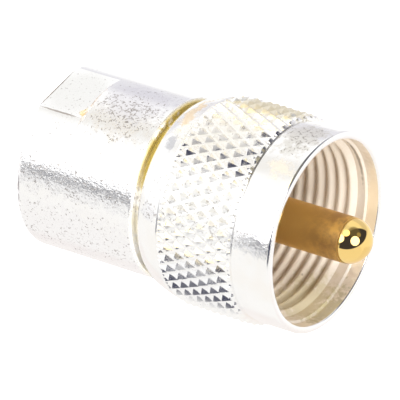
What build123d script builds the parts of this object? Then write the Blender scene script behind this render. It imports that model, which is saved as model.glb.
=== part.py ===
from build123d import *
import os
from math import cos, pi, sin

# Coaxial plug with a knurled coupling nut, for a 10 mm cable.
# It stands on its rear face at Z = 0, with its axis on Z and the contact pin pointing up.
# All sizes are in millimetres. Two wrench flats face -Y and +Y.

# Cable, and the one hole that gland nut, washer and gasket have for its sheath
cable_sheath_r = 5.15
sheath_hole_play = 0.15
cable_core_r = 3.8

# Rear barrel with its two wrench flats
gland_wall = 1.12
gland_play = 0.08
barrel_wall = 1.53
barrel_length = 11.93
barrel_edge = 0.22
rear_bore_edge = 0.25
flat_depth = 0.555
flat_length = 4.61

# Coupling nut
nut_length = 13.74
nut_rear_gap = 0.72
nut_lip = 0.85
nut_lip_wall = 0.57
nut_travel = 2.0
shoulder_length = 2.65
shoulder_rise = 0.19
shoulder_bulge = 0.16
knurl_wall = 0.89
knurl_depth = 0.49
knurl_length = 7.3
knurl_count = 52
knurl_rows = 7
collar_wall = 0.86
collar_edge = 0.22
mouth_step = 0.19
mouth_depth = 1.15
mouth_edge = 0.12
thread_lead_in = 0.5

# Split ring that joins the nut to the body
ring_thickness = 0.7
ring_width = 1.4
ring_gap = 2.4
ring_end_play = 0.05
ring_side_play = 0.10
ring_channel_play = 0.15

# Insulator, pilot and flange out to the 5/8 inch thread with 24 turns to the inch.
# The walls and steps add up to the thread's major radius, and the bore is left at its minor one.
insulator_wall = 2.75
insulator_play = 0.05
pilot_wall = 1.0
pilot_step = 1.2
flange_play = 0.25
thread_depth = 0.49

# Neck, flange and pilot of the body, inside the nut
neck_step = 0.10
neck_play = 0.20
flange_length = 0.6
travel_stop_play = 0.1
pilot_length = 1.35
pilot_edge = 0.3
pilot_lip_length = 0.8
key_width = 1.3
key_height = 0.5
key_inset = 0.1

# Insulators
front_insulator_length = 3.9
front_nose_step = 0.55
front_nose_recess = 0.2
rear_insulator_length = 2.2

# Contact pin
pin_r = 2.0
pin_root_step = 0.2
pin_collar_step = 0.6
pin_collar_length = 0.8
pin_play = 0.05
pin_tail_length = 2.55
pin_stand_out = 4.25
solder_cup_wall = 0.95
solder_cup_depth = 4.2
solder_hole_r = 0.4
solder_hole_from_end = 0.9

# Cable clamp: braid clamp, gasket, washer and gland nut
clamp_play = 0.15
clamp_flange_length = 1.0
clamp_length = 3.1
clamp_nose_wall = 0.8
clamp_nose_gap = 0.5
clamp_cone_length = 1.0
clamp_seat_gap = 0.3
clamp_bore_back_off = 0.2
gasket_length = 2.4
gasket_play = 0.10
gasket_vee_depth = 0.6
gasket_vee_half_width = 0.45
gasket_vee_play = 0.08
washer_thickness = 0.6
gland_recess = 0.3
gland_edge = 0.3
spanner_slot_width = 1.6
spanner_slot_depth = 1.2

# Radii of the rear end, from the cable outwards
sheath_hole_r = cable_sheath_r + sheath_hole_play
gland_r = sheath_hole_r + gland_wall
rear_bore_r = gland_r + gland_play
barrel_r = rear_bore_r + barrel_wall
clamp_r = rear_bore_r - clamp_play
gasket_r = rear_bore_r - gasket_play
clamp_nose_r = cable_core_r + clamp_nose_wall
clamp_bore_r = clamp_nose_r + clamp_nose_gap
vee_r = (sheath_hole_r + gasket_r) / 2

# Radii of the contact pin
pin_root_r = pin_r + pin_root_step
pin_hole_r = pin_root_r + pin_play
pin_collar_r = pin_root_r + pin_collar_step
solder_cup_r = pin_root_r - solder_cup_wall

# Radii of the front end, from the pin outwards
insulator_r = pin_root_r + insulator_wall
front_nose_r = insulator_r - front_nose_step
pilot_lip_r = front_nose_r + insulator_play
insulator_bore_r = insulator_r + insulator_play
pilot_r = insulator_bore_r + pilot_wall
flange_r = pilot_r + pilot_step
neck_r = flange_r + neck_step
thread_minor_r = flange_r + flange_play
thread_major_r = thread_minor_r + thread_depth
nut_lip_r = neck_r + neck_play
nut_rear_r = nut_lip_r + nut_lip_wall
ring_groove_r = thread_major_r
ring_outer_r = ring_groove_r - ring_side_play
ring_inner_r = ring_outer_r - ring_width
channel_r = ring_inner_r - ring_channel_play
knurl_root_r = thread_major_r + knurl_wall
knurl_r = knurl_root_r + knurl_depth
shoulder_end_r = knurl_root_r + shoulder_rise
collar_r = thread_major_r + collar_wall
mouth_r = thread_major_r + mouth_step

# Heights along the axis, from the rear face upwards
nut_z = barrel_length + nut_rear_gap
nut_front_z = nut_z + nut_length
knurl_z = nut_z + shoulder_length
knurl_front_z = knurl_z + knurl_length
mouth_z = nut_front_z - mouth_depth
ring_groove_z = nut_z + nut_lip
ring_z = ring_groove_z + ring_end_play
ring_front_z = ring_z + ring_thickness
ring_groove_front_z = ring_front_z + ring_end_play
channel_z = ring_z - ring_end_play
channel_front_z = ring_front_z + nut_travel + travel_stop_play
flange_front_z = channel_front_z + flange_length
pilot_front_z = flange_front_z + pilot_length
pilot_lip_z = pilot_front_z - pilot_lip_length
front_insulator_z = pilot_lip_z - front_insulator_length
rear_insulator_z = front_insulator_z - rear_insulator_length
clamp_bore_front_z = rear_insulator_z - clamp_bore_back_off
clamp_z = rear_insulator_z - clamp_length
clamp_flange_front_z = clamp_z + clamp_flange_length
seat_cone_z = clamp_flange_front_z + clamp_seat_gap
gasket_z = clamp_z - gasket_length
gland_front_z = gasket_z - washer_thickness
pin_collar_z = front_insulator_z - pin_play - pin_collar_length
pin_tail_z = pin_collar_z - pin_tail_length
pin_shaft_z = pilot_front_z - front_nose_recess
pin_tip_z = nut_front_z + pin_stand_out

os.makedirs("parts", exist_ok=True)


def write_piece(piece: Part, label: str) -> None:
    """Label a finished piece and write it under the same name."""
    piece.label = label
    export_step(piece, f"parts/{label}.step")


# Plug body: one turned piece from the rear barrel to the pilot
with BuildPart() as plug_body:
    with BuildSketch(Plane.XZ) as body_section:
        with BuildLine() as body_outline:
            Polyline(
                (rear_bore_r + rear_bore_edge, 0),
                (barrel_r - barrel_edge, 0),
                (barrel_r, barrel_edge),
                (barrel_r, barrel_length - barrel_edge),
                (barrel_r - barrel_edge, barrel_length),
                (neck_r, barrel_length),
                (neck_r, channel_z),
                (channel_r, channel_z),
                (channel_r, channel_front_z),
                (flange_r, channel_front_z),
                (flange_r, flange_front_z),
                (pilot_r, flange_front_z),
                (pilot_r, pilot_front_z - pilot_edge),
                (pilot_r - pilot_edge, pilot_front_z),
                (pilot_lip_r, pilot_front_z),
                (pilot_lip_r, pilot_lip_z),
                (insulator_bore_r, pilot_lip_z),
                (insulator_bore_r, clamp_bore_front_z),
                (clamp_bore_r, clamp_bore_front_z),
                (clamp_bore_r, seat_cone_z + clamp_cone_length),
                (rear_bore_r, seat_cone_z),
                (rear_bore_r, rear_bore_edge),
                (rear_bore_r + rear_bore_edge, 0),
            )
        make_face()
    revolve(axis=Axis.Z)

    # Two keys on the flange drop into the socket's toothed rim
    with BuildSketch(Plane.XY.offset(flange_front_z)) as key_section:
        Circle(flange_r - key_inset)
        Circle(pilot_r - pilot_edge, mode=Mode.SUBTRACT)
        Rectangle(2 * flange_r, key_width, mode=Mode.INTERSECT)
    extrude(amount=key_height)

    # Two opposite wrench flats at the rear end
    with BuildSketch(Plane.XY) as flat_section:
        flat_middle = barrel_r - flat_depth / 2
        with Locations((0, flat_middle), (0, -flat_middle)):
            Rectangle(2 * barrel_r, flat_depth)
    extrude(amount=flat_length, mode=Mode.SUBTRACT)
write_piece(plug_body.part, "plug_body")


def knurl_point(row: int, step: int) -> Vector:
    """Give one corner of the diamond knurl: a tip where row and step add up to an even number."""
    radius = knurl_r if (row + step) % 2 == 0 else knurl_root_r
    angle = step * pi / knurl_count
    height = knurl_z + row * knurl_length / knurl_rows
    return Vector(radius * cos(angle), radius * sin(angle), height)


def knurl_cell(row: int, step: int) -> list[Face]:
    """Give the two facets of one cell; they meet along the groove between two diamonds."""
    corners = [
        knurl_point(row, step),
        knurl_point(row, step + 1),
        knurl_point(row + 1, step + 1),
        knurl_point(row + 1, step),
    ]
    if (row + step) % 2 == 0:
        corners = corners[1:] + corners[:1]
    groove_start, tip_after, groove_end, tip_before = corners
    return [
        Face(Wire.make_polygon([groove_start, tip_after, groove_end])),
        Face(Wire.make_polygon([groove_end, tip_before, groove_start])),
    ]


def knurl_band() -> Solid:
    """Build the band of pyramids as a closed disc; the nut's bore is cut through it later."""
    steps = 2 * knurl_count
    facets = [
        facet
        for row in range(knurl_rows)
        for step in range(steps)
        for facet in knurl_cell(row, step)
    ]
    for row in (0, knurl_rows):
        rim = [knurl_point(row, step) for step in range(steps)]
        facets.append(Face(Wire.make_polygon(rim)))
    return Solid(Shell(facets))


# Coupling nut: smooth shoulder, diamond knurl, plain collar and a wide smooth mouth before the thread
with BuildPart() as coupling_nut:
    with BuildSketch(Plane.XZ) as shoulder_section:
        with BuildLine() as shoulder_outline:
            middle_r = (nut_rear_r + shoulder_end_r) / 2 + shoulder_bulge
            middle_z = (nut_z + knurl_z) / 2
            Polyline((0, knurl_z), (0, nut_z), (nut_rear_r, nut_z))
            ThreePointArc((nut_rear_r, nut_z), (middle_r, middle_z), (shoulder_end_r, knurl_z))
            Line((shoulder_end_r, knurl_z), (0, knurl_z))
        make_face()
    revolve(axis=Axis.Z)
    add(knurl_band())
    with BuildSketch(Plane.XZ) as collar_section:
        with BuildLine() as collar_outline:
            Polyline(
                (0, knurl_front_z),
                (collar_r, knurl_front_z),
                (collar_r, nut_front_z - collar_edge),
                (collar_r - collar_edge, nut_front_z),
                (0, nut_front_z),
                (0, knurl_front_z),
            )
        make_face()
    revolve(axis=Axis.Z)
    with BuildSketch(Plane.XZ) as bore_section:
        with BuildLine() as bore_outline:
            Polyline(
                (0, nut_z),
                (nut_lip_r, nut_z),
                (nut_lip_r, ring_groove_z),
                (ring_groove_r, ring_groove_z),
                (ring_groove_r, ring_groove_front_z),
                (thread_minor_r, ring_groove_front_z),
                (thread_minor_r, mouth_z - thread_lead_in),
                (thread_major_r, mouth_z),
                (mouth_r, mouth_z),
                (mouth_r, nut_front_z - mouth_edge),
                (mouth_r + mouth_edge, nut_front_z),
                (0, nut_front_z),
                (0, nut_z),
            )
        make_face()
    revolve(axis=Axis.Z, mode=Mode.SUBTRACT)
write_piece(coupling_nut.part, "coupling_nut")

# Retaining ring: a split flat ring, sprung into the nut's groove
with BuildPart() as retaining_ring:
    with BuildSketch(Plane.XY.offset(ring_z)) as ring_section:
        Circle(ring_outer_r)
        Circle(ring_inner_r, mode=Mode.SUBTRACT)
        with Locations((-(ring_outer_r + ring_inner_r) / 2, 0)):
            Rectangle(2 * ring_width, ring_gap, mode=Mode.SUBTRACT)
    extrude(amount=ring_thickness)
write_piece(retaining_ring.part, "retaining_ring")

# Contact pin: round-nosed shaft, thicker root, locating collar and a solder cup for the conductor
with BuildPart() as contact_pin:
    with BuildSketch(Plane.XZ) as pin_section:
        with BuildLine() as pin_outline:
            nose_z = pin_tip_z - pin_r
            Polyline(
                (0, pin_tip_z),
                (0, pin_tail_z + solder_cup_depth),
                (solder_cup_r, pin_tail_z + solder_cup_depth),
                (solder_cup_r, pin_tail_z),
                (pin_root_r, pin_tail_z),
                (pin_root_r, pin_collar_z),
                (pin_collar_r, pin_collar_z),
                (pin_collar_r, pin_collar_z + pin_collar_length),
                (pin_root_r, pin_collar_z + pin_collar_length),
                (pin_root_r, pin_shaft_z),
                (pin_r, pin_shaft_z),
                (pin_r, nose_z),
            )
            CenterArc((0, nose_z), pin_r, 0, 90)
        make_face()
    revolve(axis=Axis.Z)
    with BuildSketch(Plane.XZ) as solder_hole_section:
        with Locations((0, pin_tail_z + solder_hole_from_end)):
            Circle(solder_hole_r)
    extrude(amount=pin_root_r, mode=Mode.SUBTRACT)
write_piece(contact_pin.part, "contact_pin")

# Front insulator: its shoulder rests behind the pilot's lip
with BuildPart() as front_insulator:
    with BuildSketch(Plane.XZ) as front_insulator_section:
        with BuildLine() as front_insulator_outline:
            Polyline(
                (pin_hole_r, front_insulator_z),
                (insulator_r, front_insulator_z),
                (insulator_r, pilot_lip_z),
                (front_nose_r, pilot_lip_z),
                (front_nose_r, pilot_front_z - front_nose_recess),
                (pin_hole_r, pilot_front_z - front_nose_recess),
                (pin_hole_r, front_insulator_z),
            )
        make_face()
    revolve(axis=Axis.Z)
write_piece(front_insulator.part, "front_insulator")

# Rear insulator: its pocket holds the pin's collar against the front insulator
with BuildPart() as rear_insulator:
    with BuildSketch(Plane.XZ) as rear_insulator_section:
        with BuildLine() as rear_insulator_outline:
            Polyline(
                (pin_hole_r, rear_insulator_z),
                (insulator_r, rear_insulator_z),
                (insulator_r, front_insulator_z),
                (pin_collar_r + pin_play, front_insulator_z),
                (pin_collar_r + pin_play, pin_collar_z - pin_play),
                (pin_hole_r, pin_collar_z - pin_play),
                (pin_hole_r, rear_insulator_z),
            )
        make_face()
    revolve(axis=Axis.Z)
write_piece(rear_insulator.part, "rear_insulator")

# Braid clamp: a cone that traps the cable's braid against the body, with a vee ridge on its back
with BuildPart() as braid_clamp:
    with BuildSketch(Plane.XZ) as clamp_section:
        with BuildLine() as clamp_outline:
            ridge_height = gasket_vee_depth - gasket_vee_play
            ridge_half_width = gasket_vee_half_width - gasket_vee_play
            cone_root_r = rear_bore_r - clamp_nose_gap
            Polyline(
                (cable_core_r, clamp_z),
                (vee_r - ridge_half_width, clamp_z),
                (vee_r, clamp_z - ridge_height),
                (vee_r + ridge_half_width, clamp_z),
                (clamp_r, clamp_z),
                (clamp_r, clamp_flange_front_z),
                (cone_root_r, clamp_flange_front_z),
                (clamp_nose_r, clamp_flange_front_z + clamp_cone_length),
                (clamp_nose_r, rear_insulator_z),
                (cable_core_r, rear_insulator_z),
                (cable_core_r, clamp_z),
            )
        make_face()
    revolve(axis=Axis.Z)
write_piece(braid_clamp.part, "braid_clamp")

# Gasket: rubber ring round the cable's sheath, with a vee groove in its front
with BuildPart() as gasket:
    with BuildSketch(Plane.XZ) as gasket_section:
        with BuildLine() as gasket_outline:
            Polyline(
                (sheath_hole_r, gasket_z),
                (gasket_r, gasket_z),
                (gasket_r, clamp_z),
                (vee_r + gasket_vee_half_width, clamp_z),
                (vee_r, clamp_z - gasket_vee_depth),
                (vee_r - gasket_vee_half_width, clamp_z),
                (sheath_hole_r, clamp_z),
                (sheath_hole_r, gasket_z),
            )
        make_face()
    revolve(axis=Axis.Z)
write_piece(gasket.part, "gasket")

# Clamp washer: keeps the gland nut from twisting the gasket
with BuildPart() as clamp_washer:
    with BuildSketch(Plane.XY.offset(gland_front_z)) as washer_section:
        Circle(clamp_r)
        Circle(sheath_hole_r, mode=Mode.SUBTRACT)
    extrude(amount=washer_thickness)
write_piece(clamp_washer.part, "clamp_washer")

# Gland nut: screwed into the rear bore, with two slots for a pin spanner
with BuildPart() as gland_nut:
    with BuildSketch(Plane.XZ) as gland_section:
        with BuildLine() as gland_outline:
            Polyline(
                (sheath_hole_r, gland_recess),
                (gland_r - gland_edge, gland_recess),
                (gland_r, gland_recess + gland_edge),
                (gland_r, gland_front_z),
                (sheath_hole_r, gland_front_z),
                (sheath_hole_r, gland_recess),
            )
        make_face()
    revolve(axis=Axis.Z)
    with BuildSketch(Plane.XY.offset(gland_recess)) as spanner_slot_section:
        Rectangle(2 * gland_r, spanner_slot_width)
    extrude(amount=spanner_slot_depth, mode=Mode.SUBTRACT)
write_piece(gland_nut.part, "gland_nut")
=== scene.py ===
"""Looks of a coaxial cable plug: a silvered barrel, a knurled coupling nut and a gilt contact pin."""

import logging
from dataclasses import dataclass, field
from enum import Enum
from math import atan2, cos, pi, radians, sin, tau

import bpy
from mathutils import Matrix, Vector


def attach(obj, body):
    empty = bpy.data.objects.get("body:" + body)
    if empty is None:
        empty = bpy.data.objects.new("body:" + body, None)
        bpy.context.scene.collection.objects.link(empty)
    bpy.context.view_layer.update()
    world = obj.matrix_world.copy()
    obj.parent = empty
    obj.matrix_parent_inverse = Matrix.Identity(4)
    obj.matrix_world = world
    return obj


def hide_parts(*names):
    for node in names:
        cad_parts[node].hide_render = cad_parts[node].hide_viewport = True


MM = 0.001
MICRON = 0.001 * MM
PHOTO_WIDTH = 400
MERGE_DISTANCE = 0.5 * MICRON
SEED_SIZE = 0.1 * MM

log = logging.getLogger("plug")

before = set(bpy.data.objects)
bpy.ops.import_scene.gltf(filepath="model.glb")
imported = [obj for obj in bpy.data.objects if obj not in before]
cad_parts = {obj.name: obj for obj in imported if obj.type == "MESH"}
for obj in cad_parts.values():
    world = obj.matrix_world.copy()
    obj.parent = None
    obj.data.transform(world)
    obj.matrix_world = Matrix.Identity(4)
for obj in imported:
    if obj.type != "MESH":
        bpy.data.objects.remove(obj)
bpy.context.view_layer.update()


class Slot(Enum):
    """The record's material slots, passed on with the new pieces."""

    SILVER = "silver_plate"
    GOLD = "gold_plate"


class Body(Enum):
    """CAD bodies that the new pieces ride on."""

    PLUG = "plug"
    NUT = "nut"


Outline = list[tuple[float, float]]
Colour = tuple[float, float, float]


def deselect_all() -> None:
    """Leave no object selected, so that an operator acts on the new piece alone."""
    bpy.ops.object.select_all(action="DESELECT")


def activate(piece: bpy.types.Object) -> None:
    """Make a piece the only selected and active object.

    Args:
        piece: The object to work on next.
    """
    deselect_all()
    piece.select_set(True)
    bpy.context.view_layer.objects.active = piece


def apply_place(piece: bpy.types.Object) -> None:
    """Move a piece's place, turn and scale into its mesh.

    Args:
        piece: The object whose origin goes back to the frame's origin.
    """
    activate(piece)
    bpy.ops.object.transform_apply(location=True, rotation=True, scale=True)


def close_and_face_out(piece: bpy.types.Object) -> None:
    """Merge doubled vertices and turn every face outwards.

    Args:
        piece: A closed mesh.
    """
    activate(piece)
    bpy.ops.object.mode_set(mode="EDIT")
    bpy.ops.mesh.select_all(action="SELECT")
    bpy.ops.mesh.remove_doubles(threshold=MERGE_DISTANCE)
    bpy.ops.mesh.normals_make_consistent(inside=False)
    bpy.ops.object.mode_set(mode="OBJECT")


def draw_line(name: str, points: Outline) -> bpy.types.Object:
    """Draw a line of edges in the half section and leave it selected in edit mode.

    Args:
        name: Name of the new piece.
        points: Points as (radius, height) in millimetres.

    Returns:
        The line, open at both ends.
    """
    deselect_all()
    first_r, first_z = points[0]
    bpy.ops.mesh.primitive_plane_add(size=SEED_SIZE, location=(first_r * MM, 0, first_z * MM))
    piece = bpy.context.object
    piece.name = name
    bpy.ops.object.mode_set(mode="EDIT")
    bpy.ops.mesh.select_all(action="SELECT")
    bpy.ops.mesh.merge(type="CENTER")
    for (from_r, from_z), (to_r, to_z) in zip(points, points[1:]):
        step = ((to_r - from_r) * MM, 0, (to_z - from_z) * MM)
        bpy.ops.mesh.extrude_region_move(TRANSFORM_OT_translate={"value": step})
    bpy.ops.mesh.select_all(action="SELECT")
    return piece


def turn(name: str, outline: Outline, steps: int) -> bpy.types.Object:
    """Turn an outline about the plug's axis, as on a lathe.

    Args:
        name: Name of the new piece.
        outline: Corners as (radius, height) in millimetres; the last one meets the first.
        steps: Number of faces round the piece.

    Returns:
        The turned piece, closed, with its place in its mesh.
    """
    piece = draw_line(name, outline + outline[:1])
    bpy.ops.mesh.remove_doubles(threshold=MERGE_DISTANCE)
    bpy.ops.mesh.select_all(action="SELECT")
    bpy.ops.mesh.spin(steps=steps, angle=tau, center=(0, 0, 0), axis=(0, 0, 1))
    bpy.ops.object.mode_set(mode="OBJECT")
    apply_place(piece)
    close_and_face_out(piece)
    return piece


def arc(centre_r: float, centre_z: float, radius: float, start: float, end: float, count: int) -> Outline:
    """Give points along a round stretch of an outline.

    Args:
        centre_r: Distance of the arc's centre from the axis.
        centre_z: Height of the arc's centre.
        radius: The arc's own radius.
        start: First angle in degrees, counted from straight outwards towards the front.
        end: Last angle in degrees.
        count: Number of steps.

    Returns:
        The points, both ends among them.
    """
    angles = [radians(start + (end - start) * i / count) for i in range(count + 1)]
    return [(centre_r + radius * cos(a), centre_z + radius * sin(a)) for a in angles]


def add_modifier(piece: bpy.types.Object, kind: str, **settings: object) -> None:
    """Add a modifier to a piece and apply it at once.

    Args:
        piece: The object to change.
        kind: Blender's name for the modifier.
        **settings: Values of the modifier.
    """
    activate(piece)
    modifier = piece.modifiers.new(kind.title(), kind)
    for key, value in settings.items():
        setattr(modifier, key, value)
    bpy.ops.object.modifier_apply(modifier=modifier.name)


def round_edges(piece: bpy.types.Object, width: float, corner: float = 25, segments: int = 2) -> None:
    """Round every edge that is sharper than a given angle.

    Args:
        piece: The object to change.
        width: Width of the rounding in millimetres.
        corner: Smallest angle in degrees that counts as an edge.
        segments: Number of faces across the rounding.
    """
    add_modifier(
        piece,
        "BEVEL",
        width=width * MM,
        segments=segments,
        limit_method="ANGLE",
        angle_limit=radians(corner),
        harden_normals=False,
        use_clamp_overlap=True,
    )


def shade(piece: bpy.types.Object, corner: float = 30) -> None:
    """Shade a piece smooth, apart from edges sharper than the corner angle, and keep its wide faces plain.

    Args:
        piece: The object to shade.
        corner: Largest angle in degrees that is still smooth.
    """
    activate(piece)
    bpy.ops.object.shade_smooth_by_angle(angle=radians(corner))
    add_modifier(piece, "WEIGHTED_NORMAL", keep_sharp=True)


def cut_away(piece: bpy.types.Object, tool: bpy.types.Object) -> None:
    """Cut one piece with another and delete the cutting piece.

    Args:
        piece: The object that stays.
        tool: The object whose volume is taken away.
    """
    add_modifier(piece, "BOOLEAN", operation="DIFFERENCE", solver="EXACT", object=tool)
    bpy.data.objects.remove(tool)


def block(low: Vector, high: Vector) -> bpy.types.Object:
    """Add a box between two corners, for use as a cutting tool.

    Args:
        low: Lowest corner in millimetres.
        high: Highest corner in millimetres.

    Returns:
        The box.
    """
    deselect_all()
    middle = (low + high) / 2 * MM
    bpy.ops.mesh.primitive_cube_add(size=1, location=middle, scale=(high - low) * MM)
    tool = bpy.context.object
    apply_place(tool)
    return tool


def join(pieces: list[bpy.types.Object]) -> bpy.types.Object:
    """Join closed shells into the first of them.

    Args:
        pieces: The objects to join.

    Returns:
        The first object, which now holds all of them.
    """
    activate(pieces[0])
    for piece in pieces[1:]:
        piece.select_set(True)
    bpy.ops.object.join()
    return pieces[0]


def dress(piece: bpy.types.Object, material: bpy.types.Material) -> None:
    """Give a piece one material all over.

    Args:
        piece: A new piece or a carried-over CAD node.
        material: Its finish.
    """
    piece.data.materials.clear()
    piece.data.materials.append(material)


def seat(piece: bpy.types.Object, body: Body, slot: Slot, *nodes: str) -> None:
    """Tie a finished piece to its CAD body and hide the CAD nodes that it stands for.

    Args:
        piece: The finished piece.
        body: The body that it moves with.
        slot: The record's material slot; not used.
        *nodes: CAD nodes that it stands for.
    """
    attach(piece, body.value)
    if nodes:
        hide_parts(*nodes)
    log.info("%s: %d faces, rides on %s", piece.name, len(piece.data.polygons), body.value)


class NodeBoard:
    """Short hand for adding and joining shader nodes."""

    def __init__(self, tree: bpy.types.NodeTree) -> None:
        """Take the node tree to work on."""
        self.tree = tree

    def add(self, kind: str, **settings: object) -> bpy.types.Node:
        """Add a node.

        Args:
            kind: Blender's identifier of the node.
            **settings: Properties of the node.

        Returns:
            The node.
        """
        node = self.tree.nodes.new(kind)
        for key, value in settings.items():
            setattr(node, key, value)
        return node

    def link(self, source: bpy.types.NodeSocket, target: bpy.types.NodeSocket) -> None:
        """Join an output to an input."""
        self.tree.links.new(source, target)

    def put(self, target: bpy.types.NodeSocket, value: object) -> None:
        """Join a socket to an input, or set the input to a plain value.

        Args:
            target: The input.
            value: A socket, number, vector or colour.
        """
        if isinstance(value, bpy.types.NodeSocket):
            self.link(value, target)
        elif isinstance(value, tuple) and len(value) == 3 and target.type == "RGBA":
            target.default_value = (*value, 1.0)
        else:
            target.default_value = value

    def math(self, operation: str, *values: object, clamp: bool = False) -> bpy.types.NodeSocket:
        """Add a Math node and give its result.

        Args:
            operation: Blender's name for the operation.
            *values: Sockets or numbers.
            clamp: Whether the result stays between 0 and 1.

        Returns:
            The result's socket.
        """
        node = self.add("ShaderNodeMath", operation=operation, use_clamp=clamp)
        for target, value in zip(node.inputs, values):
            self.put(target, value)
        return node.outputs[0]

    def vector(self, operation: str, *values: object) -> bpy.types.Node:
        """Add a Vector Math node.

        Args:
            operation: Blender's name for the operation.
            *values: Sockets or vectors.

        Returns:
            The node.
        """
        node = self.add("ShaderNodeVectorMath", operation=operation)
        for target, value in zip(node.inputs, values):
            self.put(target, value)
        return node

    def step(self, value: object, low: object, high: object) -> bpy.types.NodeSocket:
        """Rise smoothly from 0 to 1 while a value goes from low to high.

        Args:
            value: Socket to read.
            low: Where the rise starts.
            high: Where it ends.

        Returns:
            The mask's socket.
        """
        node = self.add("ShaderNodeMapRange", interpolation_type="SMOOTHSTEP", clamp=True)
        self.put(node.inputs["Value"], value)
        self.put(node.inputs["From Min"], low)
        self.put(node.inputs["From Max"], high)
        return node.outputs["Result"]

    def mix(self, factor: object, first: object, second: object) -> bpy.types.NodeSocket:
        """Mix two colours.

        Args:
            factor: Share of the second colour.
            first: Socket or colour.
            second: Socket or colour.

        Returns:
            The mixed colour's socket.
        """
        node = self.add("ShaderNodeMix", data_type="RGBA")
        self.put(node.inputs["Factor"], factor)
        first_colour, second_colour = (put for put in node.inputs if put.type == "RGBA")
        self.put(first_colour, first)
        self.put(second_colour, second)
        return next(out for out in node.outputs if out.type == "RGBA")

    def noise(
        self,
        place: object,
        scale: object,
        detail: float = 3.0,
        rough: float = 0.6,
    ) -> bpy.types.NodeSocket:
        """Add a noise texture.

        Args:
            place: Coordinates.
            scale: Features to the metre.
            detail: Octaves.
            rough: Weight of the finer octaves.

        Returns:
            The noise value's socket.
        """
        node = self.add("ShaderNodeTexNoise")
        self.put(node.inputs["Vector"], place)
        self.put(node.inputs["Scale"], scale)
        node.inputs["Detail"].default_value = detail
        node.inputs["Roughness"].default_value = rough
        return node.outputs["Fac"]


class FinishBoard(NodeBoard):
    """The node board of a new material, with its object coordinates and its surface."""

    def __init__(self, name: str) -> None:
        """Start a material of the given name."""
        self.material = bpy.data.materials.new(name)
        self.material.use_nodes = True
        super().__init__(self.material.node_tree)
        self.place = self.add("ShaderNodeTexCoord").outputs["Object"]
        self.surface = self.tree.nodes["Principled BSDF"].inputs

    def coat(self, colour: object, rough: object, metal: object, height: object) -> bpy.types.Material:
        """Join the finish to the surface.

        Args:
            colour: Socket or colour.
            rough: Socket or number.
            metal: Socket or number, 1 for a clean metal.
            height: Socket of the surface's height in metres.

        Returns:
            The finished material.
        """
        self.put(self.surface["Base Color"], colour)
        self.put(self.surface["Roughness"], rough)
        self.put(self.surface["Metallic"], metal)
        bump = self.add("ShaderNodeBump")
        bump.inputs["Distance"].default_value = 1.0
        self.link(height, bump.inputs["Height"])
        self.link(bump.outputs["Normal"], self.surface["Normal"])
        return self.material


def new_group(name: str, inputs: dict[str, tuple], outputs: dict[str, str]) -> tuple[NodeBoard, dict, dict]:
    """Start a shader node group with named inputs and outputs.

    Args:
        name: The group's name.
        inputs: Socket kind and default value by name.
        outputs: Socket kind by name.

    Returns:
        The board to work on, the group's inner inputs by name and its inner outputs by name.
    """
    tree = bpy.data.node_groups.new(name, "ShaderNodeTree")
    for label, (kind, value) in inputs.items():
        socket = tree.interface.new_socket(label, in_out="INPUT", socket_type=kind)
        if value is not None:
            socket.default_value = value
    for label, kind in outputs.items():
        tree.interface.new_socket(label, in_out="OUTPUT", socket_type=kind)
    board = NodeBoard(tree)
    entry = board.add("NodeGroupInput")
    leave = board.add("NodeGroupOutput")
    return board, {s.name: s for s in entry.outputs}, {s.name: s for s in leave.inputs}


def patch_group() -> bpy.types.NodeTree:
    """Build the shared mask of a stained spot or of a patch of painted light: an uneven soft-edged blob round
    a point.

    Returns:
        The node group.
    """
    board, given, gives = new_group(
        "stain_or_painted_light_patch",
        {
            "Place": ("NodeSocketVector", None),
            "Centre": ("NodeSocketVector", (0.0, 0.0, 0.0)),
            "Reach": ("NodeSocketVector", (0.001, 0.001, 0.001)),
            "Ragged": ("NodeSocketFloat", 0.5),
            "Grain": ("NodeSocketFloat", 1500.0),
        },
        {"Mask": "NodeSocketFloat"},
    )
    swing_weight = 4.0
    fades_from = 0.45
    away = board.vector("SUBTRACT", given["Place"], given["Centre"])
    scaled = board.vector("DIVIDE", away.outputs[0], given["Reach"])
    distance = board.vector("LENGTH", scaled.outputs[0]).outputs["Value"]
    wander = board.math("SUBTRACT", board.noise(given["Place"], given["Grain"], 5.0, 0.65), 0.5)
    swing = board.math("MULTIPLY", given["Ragged"], swing_weight)
    uneven = board.math("MULTIPLY_ADD", wander, swing, distance)
    board.link(board.math("SUBTRACT", 1.0, board.step(uneven, fades_from, 1.0)), gives["Mask"])
    return board.tree


def pits_group() -> bpy.types.NodeTree:
    """Build the shared mask of small ragged pits in a plated surface.

    Returns:
        The node group.
    """
    board, given, gives = new_group(
        "plating_pits",
        {
            "Place": ("NodeSocketVector", None),
            "Grain": ("NodeSocketFloat", 2500.0),
            "Amount": ("NodeSocketFloat", 0.3),
        },
        {"Mask": "NodeSocketFloat"},
    )
    line_width = (0.015, 0.055)
    gate_grain = 1.7
    shut_above = 0.78
    opened_by_amount = -0.30
    gate_blur = 0.05
    curves = board.noise(given["Place"], given["Grain"], 3.0, 0.6)
    off = board.math("ABSOLUTE", board.math("SUBTRACT", curves, 0.5))
    line = board.math("SUBTRACT", 1.0, board.step(off, *line_width))
    gate = board.noise(given["Place"], board.math("MULTIPLY", given["Grain"], gate_grain), 3.0, 0.7)
    edge = board.math("MULTIPLY_ADD", given["Amount"], opened_by_amount, shut_above)
    open_gate = board.step(gate, edge, board.math("ADD", edge, gate_blur))
    board.link(board.math("MULTIPLY", line, open_gate), gives["Mask"])
    return board.tree


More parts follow.
